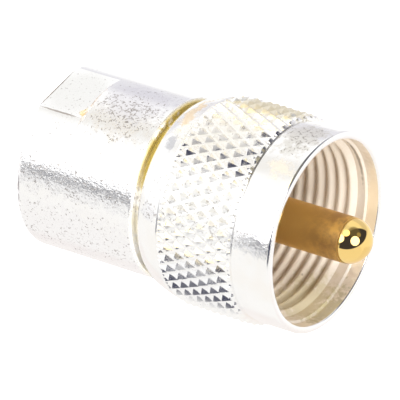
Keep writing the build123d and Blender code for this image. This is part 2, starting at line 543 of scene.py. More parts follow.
def lathe_group() -> bpy.types.NodeTree:
    """Build the shared height of fine turning marks with a little orange peel of the plating.

    Returns:
        The node group.
    """
    board, given, gives = new_group(
        "turning_marks",
        {
            "Place": ("NodeSocketVector", None),
            "Grain": ("NodeSocketFloat", 4000.0),
            "Marks": ("NodeSocketFloat", 1.0),
            "Peel": ("NodeSocketFloat", 1.0),
        },
        {"Height": "NodeSocketFloat"},
    )
    ring_stretch = (0.05, 0.05, 1.0)
    ring_grain = 2.0
    peel_grain = 0.5
    stretched = board.vector("MULTIPLY", given["Place"], ring_stretch)
    rings = board.noise(stretched.outputs[0], board.math("MULTIPLY", given["Grain"], ring_grain), 2.0, 0.5)
    peel = board.noise(given["Place"], board.math("MULTIPLY", given["Grain"], peel_grain), 1.5, 0.6)
    ring_height = board.math("MULTIPLY", rings, given["Marks"])
    peel_height = board.math("MULTIPLY", peel, given["Peel"])
    board.link(board.math("ADD", ring_height, peel_height), gives["Height"])
    return board.tree


@dataclass(frozen=True)
class StainOrPaintedLight:
    """One stained spot, or one patch of painted shade or painted reflection, on a finish.

    Attributes:
        centre: Its middle on the object, in millimetres.
        reach: Half its size along the three axes, in millimetres.
        colour: Its colour.
        strength: How much of the plating's colour it hides.
        ragged: How uneven its edge is.
        grain: Features to the millimetre in its edge.
        matt: How much of the metallic look it takes away.
        rough: Roughness that it adds.
        pits: How many more pits it has.
        grit: How much higher its orange peel is, in micrometres.
    """

    centre: tuple[float, float, float]
    reach: tuple[float, float, float]
    colour: Colour
    strength: float = 0.8
    ragged: float = 0.5
    grain: float = 1.5
    matt: float = 0.0
    rough: float = 0.25
    pits: float = 0.0
    grit: float = 0.0


@dataclass
class EffectKit:
    """The shader groups that more than one finish uses."""

    patch: bpy.types.NodeTree = field(default_factory=patch_group)
    pits: bpy.types.NodeTree = field(default_factory=pits_group)
    lathe: bpy.types.NodeTree = field(default_factory=lathe_group)

    def use(self, board: NodeBoard, tree: bpy.types.NodeTree, **values: object) -> bpy.types.NodeSocket:
        """Place one of the groups in a material.

        Args:
            board: The material's board.
            tree: The group.
            **values: Its inputs by name.

        Returns:
            The group's only output.
        """
        node = board.add("ShaderNodeGroup", node_tree=tree)
        for name, value in values.items():
            board.put(node.inputs[name], value)
        return node.outputs[0]


@dataclass(frozen=True)
class PlatedFinish:
    """A plated metal with pits, stained spots, painted shade, painted reflection and turning marks.

    Attributes:
        name: Name of the material.
        colour: Colour of the clean plating.
        second: Colour that the plating drifts to in broad clouds.
        drift: Weight of those clouds.
        cloud_grain: Features to the millimetre in the clouds.
        cloud_edges: Noise values between which a cloud sets in.
        rough: Roughness of the clean plating.
        rough_spread: How much the roughness varies.
        wear_grain: Features to the millimetre in the roughness.
        pit_colour: Colour inside the pits.
        pit_tint: How strongly that colour shows.
        pits: Amount of pits, from 0 to 1.
        pit_grain: Features to the millimetre in the pits.
        pit_depth: Depth of the pits in micrometres.
        marks: Height of the turning marks, in micrometres.
        peel: Height of the plating's orange peel, in micrometres.
        peel_grain: Features to the millimetre in marks and peel.
        stains_and_painted_light: Stained spots, painted shade and painted reflection on this piece.
    """

    name: str
    colour: Colour
    second: Colour
    drift: float = 0.4
    cloud_grain: float = 0.26
    cloud_edges: tuple[float, float] = (0.40, 0.66)
    rough: float = 0.2
    rough_spread: float = 0.1
    wear_grain: float = 0.9
    pit_colour: Colour = (0.22, 0.18, 0.15)
    pit_tint: float = 0.75
    pits: float = 0.3
    pit_grain: float = 2.2
    pit_depth: float = 5.0
    marks: float = 1.0
    peel: float = 3.0
    peel_grain: float = 7.0
    stains_and_painted_light: tuple[StainOrPaintedLight, ...] = ()

    def stain_and_painted_light_masks(self, board: NodeBoard, place: bpy.types.NodeSocket, kit: EffectKit) -> list:
        """Place one mask for each stained spot or patch of painted light.

        Args:
            board: The material's board.
            place: Object coordinates.
            kit: Shared groups.

        Returns:
            The masks' sockets, in the list's order.
        """
        masks = []
        for stain_or_painted_light in self.stains_and_painted_light:
            mask = kit.use(
                board,
                kit.patch,
                Place=place,
                Centre=tuple(c * MM for c in stain_or_painted_light.centre),
                Reach=tuple(r * MM for r in stain_or_painted_light.reach),
                Ragged=stain_or_painted_light.ragged,
                Grain=stain_or_painted_light.grain / MM,
            )
            masks.append(board.math("MULTIPLY", mask, stain_or_painted_light.strength))
        return masks

    def build(self, kit: EffectKit) -> bpy.types.Material:
        """Make the material.

        Args:
            kit: Shared groups.

        Returns:
            The material.
        """
        board = FinishBoard(self.name)
        place = board.place
        clouds = board.step(board.noise(place, self.cloud_grain / MM, 4.0, 0.6), *self.cloud_edges)
        colour = board.mix(board.math("MULTIPLY", clouds, self.drift), self.colour, self.second)
        wear = board.noise(place, self.wear_grain / MM, 4.0, 0.65)
        rough = board.math("MULTIPLY_ADD", wear, self.rough_spread, self.rough - self.rough_spread / 2)
        metal = 1.0
        amount = self.pits
        peel = self.peel * MICRON
        for stain_or_painted_light, mask in zip(self.stains_and_painted_light, self.stain_and_painted_light_masks(board, place, kit)):
            colour = board.mix(mask, colour, stain_or_painted_light.colour)
            rough = board.math("MULTIPLY_ADD", mask, stain_or_painted_light.rough, rough)
            if stain_or_painted_light.matt:
                metal = board.math("MULTIPLY_ADD", mask, -stain_or_painted_light.matt, metal, clamp=True)
            if stain_or_painted_light.pits:
                amount = board.math("MULTIPLY_ADD", mask, stain_or_painted_light.pits, amount)
            if stain_or_painted_light.grit:
                peel = board.math("MULTIPLY_ADD", mask, stain_or_painted_light.grit * MICRON, peel)
        pits = kit.use(board, kit.pits, Place=place, Grain=self.pit_grain / MM, Amount=amount)
        colour = board.mix(board.math("MULTIPLY", pits, self.pit_tint), colour, self.pit_colour)
        height = kit.use(
            board,
            kit.lathe,
            Place=place,
            Grain=self.peel_grain / MM,
            Marks=self.marks * MICRON,
            Peel=peel,
        )
        sunk = board.math("MULTIPLY_ADD", pits, -self.pit_depth * MICRON, height)
        return board.coat(colour, rough, metal, sunk)


@dataclass(frozen=True)
class GiltFinish:
    """Gold plate, polished at the nose and matt along the shaft.

    Attributes:
        nose_z: Height in millimetres above which the pin is polished.
        polished: Colour of the polished nose.
        matt: Colour of the shaft.
        brown: Colour of the darker shaft next to the nose.
        nose_edge: Depths below the nose between which the polish sets in, in millimetres.
        worn_reach: Depths below the nose between which the brown sets in, in millimetres.
        worn_share: Largest weight of the brown.
        cloud_grain: Features to the millimetre in the brown and in the roughness.
        cloud_edges: Noise values between which the brown sets in.
        nose_rough: Roughness of the nose.
        shaft_rough: Lowest roughness of the shaft.
        rough_spread: How much the shaft's roughness varies.
        brush_grain: Features to the millimetre in the brush marks.
        marks: Height of the brush marks, in micrometres.
        peel: Height of the plating's orange peel, in micrometres.
    """

    nose_z: float
    polished: Colour = (0.93, 0.66, 0.24)
    matt: Colour = (0.86, 0.55, 0.18)
    brown: Colour = (0.43, 0.23, 0.10)
    nose_edge: tuple[float, float] = (0.05, -0.02)
    worn_reach: tuple[float, float] = (4.5, 0.3)
    worn_share: float = 0.75
    cloud_grain: float = 0.7
    cloud_edges: tuple[float, float] = (0.35, 0.62)
    nose_rough: float = 0.045
    shaft_rough: float = 0.40
    rough_spread: float = 0.18
    brush_grain: float = 4.0
    marks: float = 2.2
    peel: float = 2.0

    def heights(self, depths: tuple[float, float]) -> list[float]:
        """Turn depths below the nose in millimetres into heights in metres."""
        return [(self.nose_z - depth) * MM for depth in depths]

    def build(self, kit: EffectKit) -> bpy.types.Material:
        """Make the material.

        Args:
            kit: Shared groups.

        Returns:
            The material.
        """
        board = FinishBoard("gilt_pin")
        place = board.place
        split = board.add("ShaderNodeSeparateXYZ")
        board.link(place, split.inputs[0])
        height = split.outputs["Z"]
        nose = board.step(height, *self.heights(self.nose_edge))
        cloud = board.noise(place, self.cloud_grain / MM, 5.0, 0.65)
        worn = board.math("MULTIPLY", board.step(height, *self.heights(self.worn_reach)), self.worn_share)
        browned = board.math("MULTIPLY", worn, board.step(cloud, *self.cloud_edges))
        shaft = board.mix(browned, self.matt, self.brown)
        matt_rough = board.math("MULTIPLY_ADD", cloud, self.rough_spread, self.shaft_rough)
        smoother = board.math("SUBTRACT", self.nose_rough, matt_rough)
        rough = board.math("MULTIPLY_ADD", nose, smoother, matt_rough)
        brushed = kit.use(
            board,
            kit.lathe,
            Place=place,
            Grain=self.brush_grain / MM,
            Marks=self.marks * MICRON,
            Peel=self.peel * MICRON,
        )
        relief = board.math("MULTIPLY", brushed, board.math("SUBTRACT", 1.0, nose))
        return board.coat(board.mix(nose, shaft, self.polished), rough, 1.0, relief)


@dataclass(frozen=True)
class PlainFinish:
    """A moulded plastic or rubber with a faint mottle.

    Attributes:
        name: Name of the material.
        colour: Main colour.
        second: Colour of the mottle.
        rough: Roughness.
        grain: Features to the millimetre.
        bump: Height of the surface grain in micrometres.
        rough_spread: How much the roughness varies.
        mottle_edges: Noise values between which the mottle sets in.
    """

    name: str
    colour: Colour
    second: Colour
    rough: float
    grain: float
    bump: float
    rough_spread: float = 0.15
    mottle_edges: tuple[float, float] = (0.35, 0.70)

    def build(self) -> bpy.types.Material:
        """Make the material.

        Returns:
            The material.
        """
        board = FinishBoard(self.name)
        mottle = board.noise(board.place, self.grain / MM, 4.0, 0.6)
        colour = board.mix(board.step(mottle, *self.mottle_edges), self.colour, self.second)
        rough = board.math("MULTIPLY_ADD", mottle, self.rough_spread, self.rough)
        height = board.math("MULTIPLY", mottle, self.bump * MICRON)
        return board.coat(colour, rough, 0.0, height)


BARREL_STAINS_AND_SHADE = (
    # Cream all round the neck, and olive where it faces the flat's side: olive tarnish deepened by painted
    # shade of the gap before the nut.
    StainOrPaintedLight((0, 0, 12.20), (20, 20, 0.62), (0.80, 0.74, 0.57), 0.8, 0.06, matt=0.75),
    StainOrPaintedLight((1.0, -9.0, 12.20), (12, 10, 0.62), (0.42, 0.31, 0.045), 0.95, 0.08, matt=0.8),
    # The wrench flat, its golden spot and the dark lines along its edges.
    StainOrPaintedLight((0.0, -7.475, 2.2), (3.9, 0.30, 3.6), (0.865, 0.86, 0.84), 0.95, 0.05, rough=0.05, pits=0.12),
    StainOrPaintedLight((2.1, -7.6, 4.35), (0.75, 0.6, 0.50), (0.62, 0.38, 0.05), 0.95, 0.6, matt=0.7),
    StainOrPaintedLight((0.9, -7.6, 4.63), (2.8, 0.8, 0.24), (0.26, 0.14, 0.06), 0.9, 0.6, matt=0.6),
    StainOrPaintedLight((2.88, -7.48, 2.3), (0.13, 0.13, 2.7), (0.16, 0.12, 0.10), 0.8, 0.25, matt=0.5),
    StainOrPaintedLight((0.4, -7.48, 0.09), (3.4, 0.4, 0.11), (0.16, 0.12, 0.10), 0.8, 0.25, matt=0.5),
    # Dark rim at the rear face.
    StainOrPaintedLight((7.6, -2.4, 0.27), (1.8, 4.2, 0.13), (0.12, 0.10, 0.12), 0.8, 0.2, matt=0.4),
    # Pits in front of the flat, the gritty streak, the pits beyond it and the duller top.
    StainOrPaintedLight((1.6, -7.7, 8.2), (3.2, 1.6, 4.6), (0.91, 0.88, 0.84), 0.8, 0.5, rough=0.12, pits=0.55),
    StainOrPaintedLight((6.9, -4.1, 6.0), (1.8, 2.2, 14.0), (0.92, 0.92, 0.93), 0.8, 0.5, rough=0.01, pits=0.5, grit=30),
    StainOrPaintedLight((8.0, 1.5, 5.0), (1.8, 4.4, 12.0), (0.93, 0.92, 0.925), 0.8, 0.5, rough=0.03, pits=0.3, grit=4),
    StainOrPaintedLight((-0.6, -8.0, 8.2), (3.4, 1.3, 4.4), (0.84, 0.825, 0.855), 0.75, 0.35, rough=0.08, pits=0.3),
)
NUT_STAINS = (
    # Golden edge of the nut's rear face, and the knurl a little rougher than the rest.
    StainOrPaintedLight((1.0, -9.0, 12.60), (12, 10, 0.30), (0.60, 0.46, 0.14), 0.85, 0.12, matt=0.6),
    StainOrPaintedLight((0, 0, 18.95), (20, 20, 4.4), (0.96, 0.95, 0.94), 0.9, 0.1, rough=0.06),
    # Brown spot on the shoulder, and the yellowed patches of the knurl.
    StainOrPaintedLight((-0.2, -8.6, 14.1), (2.6, 1.2, 0.9), (0.70, 0.50, 0.25), 0.70, 0.6, matt=0.4),
    StainOrPaintedLight((-4.6, -8.0, 19.0), (4.0, 3.0, 4.2), (0.55, 0.46, 0.26), 0.6, 0.6, matt=0.3),
    StainOrPaintedLight(
        (1.6, -8.9, 18.0), (4.4, 2.4, 4.6), (0.78, 0.755, 0.70), 0.75, 0.6,
        grain=1.0, matt=0.26, rough=0.17, pits=0.5,
    ),
    # Grey spot on the shoulder, and the duller sides of the knurl.
    StainOrPaintedLight((3.2, -8.1, 14.2), (0.9, 0.8, 0.8), (0.55, 0.55, 0.58), 0.7, 0.6, rough=0.08, pits=0.4),
    StainOrPaintedLight((8.9, 2.0, 18.9), (3.0, 4.5, 5.5), (0.93, 0.93, 0.93), 0.8, 0.3, rough=0.10),
    StainOrPaintedLight((7.4, -5.6, 18.9), (3.6, 4.6, 7.0), (0.90, 0.90, 0.89), 0.85, 0.2, matt=0.14, rough=0.22, pits=0.6),
    # Gritty streaks on shoulder and collar.
    StainOrPaintedLight((7.9, -4.2, 14.0), (1.0, 1.2, 1.2), (0.86, 0.86, 0.88), 0.8, 0.5, rough=0.01, pits=0.5, grit=30),
    StainOrPaintedLight((7.8, -4.1, 24.5), (1.1, 1.3, 2.4), (0.86, 0.86, 0.88), 0.8, 0.5, rough=0.01, pits=0.5, grit=30),
    # Pitted and yellowed spots on the collar.
    StainOrPaintedLight((-1.4, -8.7, 24.3), (3.4, 1.5, 2.2), (0.80, 0.77, 0.71), 0.8, 0.6, pits=0.8),
    StainOrPaintedLight((2.7, -8.4, 24.8), (1.3, 0.8, 1.3), (0.88, 0.79, 0.64), 0.6, 0.6, matt=0.2),
)
BORE_STAINS_AND_PAINTED_LIGHT = (
    # The whole bore, dull, in a brownish colour that is painted warm reflection and painted shade of the
    # hollow.
    StainOrPaintedLight((0, 0, 20.5), (20, 20, 9.0), (0.71, 0.62, 0.515), 0.8, 0.1, matt=0.85, rough=0.1),
    # The smooth wall of the mouth in cream-gold painted warm reflection, the dark line at its foot as painted
    # shadow where the thread starts, and an olive patch at its edge.
    StainOrPaintedLight((-6.6, 3.6, 25.9), (5.0, 8.0, 0.85), (0.68, 0.55, 0.37), 0.9, 0.2, matt=0.5),
    StainOrPaintedLight((-7.4, -2.0, 24.95), (2.6, 3.6, 0.20), (0.30, 0.25, 0.19), 0.8, 0.3, matt=0.3),
    StainOrPaintedLight((1.0, 8.0, 25.8), (4.0, 1.6, 1.0), (0.40, 0.34, 0.20), 0.8, 0.6, matt=0.3),
    # Two black specks on the thread.
    StainOrPaintedLight((-7.42, 0.62, 20.22), (0.22, 0.22, 0.22), (0.10, 0.06, 0.05), 0.95, 0.1, matt=0.9),
    StainOrPaintedLight((-1.67, 7.26, 21.89), (0.24, 0.24, 0.24), (0.10, 0.06, 0.05), 0.95, 0.1, matt=0.9),
    # Painted shade on the thread: browner deep inside, and olive to the side.
    StainOrPaintedLight((-7.6, -2.0, 17.0), (4.0, 5.0, 4.0), (0.62, 0.48, 0.36), 0.55, 0.35),
    StainOrPaintedLight((1.5, 7.8, 23.2), (5.0, 2.5, 3.2), (0.56, 0.48, 0.27), 0.65, 0.45),
)


@dataclass
class Barrel:
    """Rear barrel of the plug body, its neck, flange and pilot. Sizes in millimetres, crease in degrees."""

    radius: float = 8.03
    length: float = 11.93
    edge: float = 0.22
    worn_edge: float = 0.07
    flat_half_width: float = 7.475
    flat_length: float = 4.61
    neck_r: float = 7.30
    channel_r: float = 6.29
    channel_z: float = 13.50
    channel_front_z: float = 16.35
    flange_r: float = 7.20
    flange_front_z: float = 16.95
    pilot_r: float = 6.0
    pilot_front_z: float = 18.30
    pilot_edge: float = 0.3
    lip_r: float = 4.45
    lip_z: float = 17.50
    bore_r: float = 5.0
    clamp_bore_r: float = 5.10
    clamp_bore_front_z: float = 11.20
    seat_z: float = 10.60
    rear_bore_z: float = 9.60
    rear_bore_r: float = 6.5
    rear_edge: float = 0.25
    key_half_width: float = 0.65
    key_top_z: float = 17.45
    key_reach_r: float = 7.1
    key_sink: float = 0.1
    key_edge: float = 0.06
    crease: float = 19
    steps: int = 144

    def outline(self) -> Outline:
        """Give the turned outline, from the rear face round to the rear bore."""
        return [
            (self.rear_bore_r + self.rear_edge, 0),
            (self.radius - self.edge, 0),
            (self.radius, self.edge),
            (self.radius, self.length - self.edge),
            (self.radius - self.edge, self.length),
            (self.neck_r, self.length),
            (self.neck_r, self.channel_z),
            (self.channel_r, self.channel_z),
            (self.channel_r, self.channel_front_z),
            (self.flange_r, self.channel_front_z),
            (self.flange_r, self.flange_front_z),
            (self.pilot_r, self.flange_front_z),
            (self.pilot_r, self.pilot_front_z - self.pilot_edge),
            (self.pilot_r - self.pilot_edge, self.pilot_front_z),
            (self.lip_r, self.pilot_front_z),
            (self.lip_r, self.lip_z),
            (self.bore_r, self.lip_z),
            (self.bore_r, self.clamp_bore_front_z),
            (self.clamp_bore_r, self.clamp_bore_front_z),
            (self.clamp_bore_r, self.seat_z),
            (self.rear_bore_r, self.rear_bore_z),
            (self.rear_bore_r, self.rear_edge),
        ]

    def model(self) -> bpy.types.Object:
        """Turn the body, mill its two flats and add its two keys.

        Returns:
            The finished mesh.
        """
        body = turn("barrel_shell", self.outline(), self.steps)
        reach = 2 * self.radius
        for side in (-1, 1):
            low_y, high_y = sorted((side * self.flat_half_width, side * reach))
            tool = block(Vector((-reach, low_y, -reach)), Vector((reach, high_y, self.flat_length)))
            cut_away(body, tool)
        round_edges(body, self.worn_edge, segments=4)
        keys = [self.key(side) for side in (-1, 1)]
        body = join([body, *keys])
        shade(body, self.crease)
        return body

    def key(self, side: int) -> bpy.types.Object:
        """Make one key that drops into the socket's toothed rim.

        Args:
            side: -1 or 1, the side of the axis along X.

        Returns:
            The key, let a little into the flange and the pilot.
        """
        low_x, high_x = sorted((side * (self.pilot_r - self.key_sink), side * self.key_reach_r))
        key = block(
            Vector((low_x, -self.key_half_width, self.flange_front_z - self.key_sink)),
            Vector((high_x, self.key_half_width, self.key_top_z)),
        )
        round_edges(key, self.key_edge)
        return key

    def finish(self) -> PlatedFinish:
        """Give the barrel's tarnished silver, with painted shade at the neck."""
        return PlatedFinish(
            name="barrel_silver",
            colour=(0.97, 0.968, 0.96),
            second=(0.93, 0.91, 0.88),
            rough=0.15,
            pits=0.50,
            stains_and_painted_light=BARREL_STAINS_AND_SHADE,
        )

    def make(self, kit: EffectKit) -> None:
        """Build, dress and seat the barrel."""
        shell = self.model()
        dress(shell, self.finish().build(kit))
        seat(shell, Body.PLUG, Slot.SILVER, "plug_body")


@dataclass
class CouplingNut:
    """Knurled nut with its thread. Sizes in millimetres, creases in degrees.

    Attributes:
        shoulder_rise: Steps outwards and forwards from the nut's rear corner to points of the shoulder.
        shoulder_end: The same from the corner where the full shoulder would meet the knurl.
        thread_crest: Exponent that narrows the thread's rounded ridge.
        thread_points: Steps across the ridge.
        thread_steps: Steps round a turn of the thread.
        run_out: Steps in which each end of the thread sinks into the wall.
        knurl_count: Diamonds round the nut.
        knurl_rows: Half rows of diamonds along it.
        knurl_groove: Share of the way from a tip to the middle of a groove that is flat.
        knurl_phase: Share of a half row by which the pattern is shifted.
        knurl_fine: Faces along half a diamond.
        knurl_blunt: Height of the blunt tips as a share of the pointed pyramid.
        knurl_rear_fall: Slope at which the ground falls away from the shoulder.
        knurl_rear_rise: Slope that holds down the tips next to the shoulder.
        bore_slot: Index of the bore's finish on the nut.
    """

    rear_z: float = 12.65
    front_z: float = 26.39
    rear_r: float = 8.07
    shoulder_rise: tuple[tuple[float, float], ...] = ((-0.10, 0.0), (0.04, 0.09), (0.36, 0.55))
    shoulder_middle_r: float = 8.705
    shoulder_r: float = 9.02
    shoulder_end: tuple[tuple[float, float], ...] = ((-0.10, -0.55), (0.0, -0.12), (-0.03, -0.04))
    lip_r: float = 7.50
    lip_edge: float = 0.08
    lip_length: float = 0.85
    groove_length: float = 0.80
    major_r: float = 7.94
    minor_r: float = 7.45
    pitch: float = 1.0583
    thread_start: float = 0.10
    thread_end: float = 0.55
    thread_sink: float = 0.06
    thread_crest: float = 1.5
    thread_points: int = 14
    thread_steps: int = 96
    run_out: int = 16
    run_out_sink: float = 0.03
    knurl_r: float = 9.32
    knurl_root_r: float = 8.83
    knurl_z: float = 15.30
    knurl_front_z: float = 22.60
    knurl_count: int = 52
    knurl_rows: int = 7
    knurl_groove: float = 0.2
    knurl_phase: float = 0.2
    knurl_fine: int = 5
    knurl_blunt: float = 0.95
    knurl_rear_fall: float = 0.25
    knurl_rear_rise: float = 0.6
    knurl_front_lift: float = 0.01
    same_radius: float = 0.005
    collar_r: float = 8.80
    collar_edge: float = 0.22
    mouth_r: float = 8.13
    mouth_depth: float = 1.15
    mouth_edge: float = 0.12
    mouth_corner: float = 0.04
    mouth_lead: float = 0.10
    crease: float = 22
    thread_crease: float = 40
    bore_reach: float = 0.01
    bore_start: float = 0.1
    bore_slot: int = 1

    def outline(self) -> Outline:
        """Give the nut's turned outline, with fine rows where the knurl goes and no thread."""
        middle_z = (self.rear_z + self.knurl_z) / 2
        mouth_z = self.front_z - self.mouth_depth
        groove_z = self.rear_z + self.lip_length
        rows = self.knurl_rows * self.knurl_fine
        rise = (self.knurl_front_z - self.knurl_z) / rows
        edge_r = self.collar_r - self.collar_edge
        edge_z = self.front_z - self.collar_edge
        inner_r = self.mouth_r + self.mouth_edge
        inner_z = self.front_z - self.mouth_edge
        return [
            (self.lip_r + self.lip_edge, self.rear_z),
            *[(self.rear_r + out, self.rear_z + ahead) for out, ahead in self.shoulder_rise],
            (self.shoulder_middle_r, middle_z),
            *[(self.shoulder_r + out, self.knurl_z + ahead) for out, ahead in self.shoulder_end],
            *[(self.knurl_r, self.knurl_z + row * rise) for row in range(rows + 1)],
            (self.collar_r, self.knurl_front_z + self.knurl_front_lift),
            *arc(edge_r, edge_z, self.collar_edge, 0, 90, 5),
            *arc(inner_r, inner_z, self.mouth_edge, 90, 180, 4),
            (self.mouth_r, mouth_z + self.mouth_corner),
            (self.mouth_r - self.mouth_corner, mouth_z),
            (self.major_r, mouth_z - self.mouth_lead),
            (self.major_r, groove_z),
            (self.lip_r, groove_z),
            (self.lip_r, self.rear_z + self.lip_edge),
        ]

    def cut_knurl(self, shell: bpy.types.Object) -> None:
        """Sink the smooth band into pyramids that stand between two families of flat grooves.

        Args:
            shell: The turned nut, whose band has rows and steps for every corner of the pyramids.
        """
        depth = (self.knurl_r - self.knurl_root_r) * (1 - self.knurl_groove)
        bottom = self.knurl_r - depth
        rise = (self.knurl_front_z - self.knurl_z) / self.knurl_rows
        shoulder = self.shoulder_r + self.shoulder_end[-1][0]
        for vertex in shell.data.vertices:
            radius = vertex.co.xy.length
            if abs(radius / MM - self.knurl_r) > self.same_radius:
                continue
            from_rear = vertex.co.z / MM - self.knurl_z
            from_front = self.knurl_front_z - vertex.co.z / MM
            row = from_rear / rise + self.knurl_phase
            step = atan2(vertex.co.y, vertex.co.x) * self.knurl_count / pi
            away = self.from_tip(row, step)
            high = min(max(1 - away / (1 - self.knurl_groove), 0.0), self.knurl_blunt)
            reach = max(bottom + depth * high, shoulder - self.knurl_rear_fall * from_rear)
            front_limit = bottom + self.knurl_front_lift + from_front
            rear_limit = shoulder + self.knurl_rear_rise * from_rear
            share = min(reach, front_limit, rear_limit) / self.knurl_r
            vertex.co.x *= share
            vertex.co.y *= share

    @staticmethod
    def from_tip(row: float, step: float) -> float:
        """Tell how far a point of the band lies from the nearest tip; the grooves lie at 1."""
        row_near = round(row)
        step_near = round(step)
        row_away = abs(row - row_near)
        step_away = abs(step - step_near)
        if (row_near + step_near) % 2 == 0:
            return row_away + step_away
        return 1 - abs(row_away - step_away)

    def thread(self) -> bpy.types.Object:
        """Model the thread as one rounded ridge that winds forward along the bore.

        Returns:
            The closed ridge, let a little into the wall.
        """
        start_z = self.rear_z + self.lip_length + self.groove_length + self.thread_start
        turns = int((self.front_z - self.mouth_depth - start_z - self.thread_end) / self.pitch)
        wall_r = self.major_r + self.thread_sink
        height = self.major_r - self.minor_r
        count = self.thread_points
        ridge = [(wall_r, start_z)]
        for i in range(1, count):
            wave = sin(pi * i / count) ** self.thread_crest
            ridge.append((self.major_r - height * wave, start_z + self.pitch * i / count))
        ridge.append((wall_r, start_z + self.pitch))
        coil = draw_line("thread_ridge", ridge)
        bpy.ops.mesh.edge_face_add()
        bpy.ops.object.mode_set(mode="OBJECT")
        apply_place(coil)
        add_modifier(
            coil,
            "SCREW",
            axis="Z",
            angle=tau,
            screw_offset=self.pitch * MM,
            iterations=turns,
            steps=self.thread_steps,
            render_steps=self.thread_steps,
            use_normal_calculate=True,
        )
        self.fade_ends(coil, turns)
        close_and_face_out(coil)
        return coil

    def fade_ends(self, coil: bpy.types.Object, turns: int) -> None:
        """Sink both ends of the ridge into the wall, as a cut thread runs out.

        Args:
            coil: The wound ridge.
            turns: Number of turns.
        """
        section = len(coil.data.vertices) // (turns * self.thread_steps + 1)
        last = turns * self.thread_steps
        wall = (self.major_r + self.run_out_sink) * MM
        for index, vertex in enumerate(coil.data.vertices):
            ring = index // section
            left = min(ring, last - ring) / self.run_out
            radius = vertex.co.xy.length
            if left < 1 and radius < wall:
                share = (wall + (radius - wall) * left) / radius
                vertex.co.x *= share
                vertex.co.y *= share

    def dress_bore(self, shell: bpy.types.Object, kit: EffectKit) -> None:
        """Give the wall inside the nut the duller finish of the thread, cream-coloured as painted warm
        reflection.

        Args:
            shell: The turned nut.
            kit: Shared groups.
        """
        finish = PlatedFinish(
            name="thread_silver",
            # The cream colours are painted reflection of warm surroundings inside the nut.
            colour=(0.96, 0.90, 0.80),
            second=(0.90, 0.80, 0.66),
            drift=0.5,
            rough=0.32,
            pits=0.10,
            peel=2.0,
            stains_and_painted_light=BORE_STAINS_AND_PAINTED_LIGHT,
        )
        shell.data.materials.append(finish.build(kit))
        outermost = (self.mouth_r + self.bore_reach) * MM
        rearmost = (self.rear_z + self.bore_start) * MM
        for face in shell.data.polygons:
            if face.center.xy.length < outermost and face.center.z > rearmost:
                face.material_index = self.bore_slot

    def model(self, kit: EffectKit) -> bpy.types.Object:
        """Build the nut from its turned shell, its knurl and its thread, each with its finish.

        Args:
            kit: Shared groups.

        Returns:
            The finished mesh.
        """
        shell = turn("nut_shell", self.outline(), 2 * self.knurl_count * self.knurl_fine)
        self.cut_knurl(shell)
        activate(shell)
        bpy.ops.object.mode_set(mode="EDIT")
        bpy.ops.mesh.select_all(action="SELECT")
        bpy.ops.mesh.quads_convert_to_tris(quad_method="SHORTEST_DIAGONAL")
        bpy.ops.object.mode_set(mode="OBJECT")
        dress(shell, self.finish().build(kit))
        self.dress_bore(shell, kit)
        thread = self.thread()
        dress(thread, shell.data.materials[self.bore_slot])
        shade(shell, self.crease)
        shade(thread, self.thread_crease)
        return join([shell, thread])

    def finish(self) -> PlatedFinish:
        """Give the nut's silver, yellowed at the shoulder and in the knurl."""
        return PlatedFinish(
            name="nut_silver",
            colour=(0.97, 0.965, 0.955),
            second=(0.94, 0.90, 0.84),
            rough=0.15,
            pits=0.30,
            stains_and_painted_light=NUT_STAINS,
        )

    def make(self, kit: EffectKit) -> None:
        """Build, dress and seat the nut."""
        nut = self.model(kit)
        nut.name = "knurled_nut"
        seat(nut, Body.NUT, Slot.SILVER, "coupling_nut")


@dataclass
class ContactPin:
    """Gilt contact pin. Sizes in millimetres."""

    tail_z: float = 10.20
    collar_z: float = 12.75
    collar_length: float = 0.80
    shaft_z: float = 18.10
    tip_z: float = 30.64
    radius: float = 2.0
    root_r: float = 2.2
    collar_r: float = 2.8
    cup_r: float = 1.25
    cup_depth: float = 4.2
    steps: int = 72

    def model(self) -> bpy.types.Object:
        """Turn the pin with its round nose and its solder cup.

        Returns:
            The finished mesh.
        """
        nose_z = self.tip_z - self.radius
        outline = [
            (0.0, self.tail_z + self.cup_depth),
            (self.cup_r, self.tail_z + self.cup_depth),
            (self.cup_r, self.tail_z),
            (self.root_r, self.tail_z),
            (self.root_r, self.collar_z),
            (self.collar_r, self.collar_z),
            (self.collar_r, self.collar_z + self.collar_length),
            (self.root_r, self.collar_z + self.collar_length),
            (self.root_r, self.shaft_z),
            (self.radius, self.shaft_z),
            *arc(0.0, nose_z, self.radius, 0, 90, 20),
        ]
        outline[-1] = (0.0, self.tip_z)
        pin = turn("gilt_pin", outline, self.steps)
        shade(pin)
        return pin

    def make(self, kit: EffectKit) -> None:
        """Build, dress and seat the pin."""
        pin = self.model()
        dress(pin, GiltFinish(nose_z=self.tip_z - self.radius).build(kit))
        seat(pin, Body.PLUG, Slot.GOLD, "contact_pin")


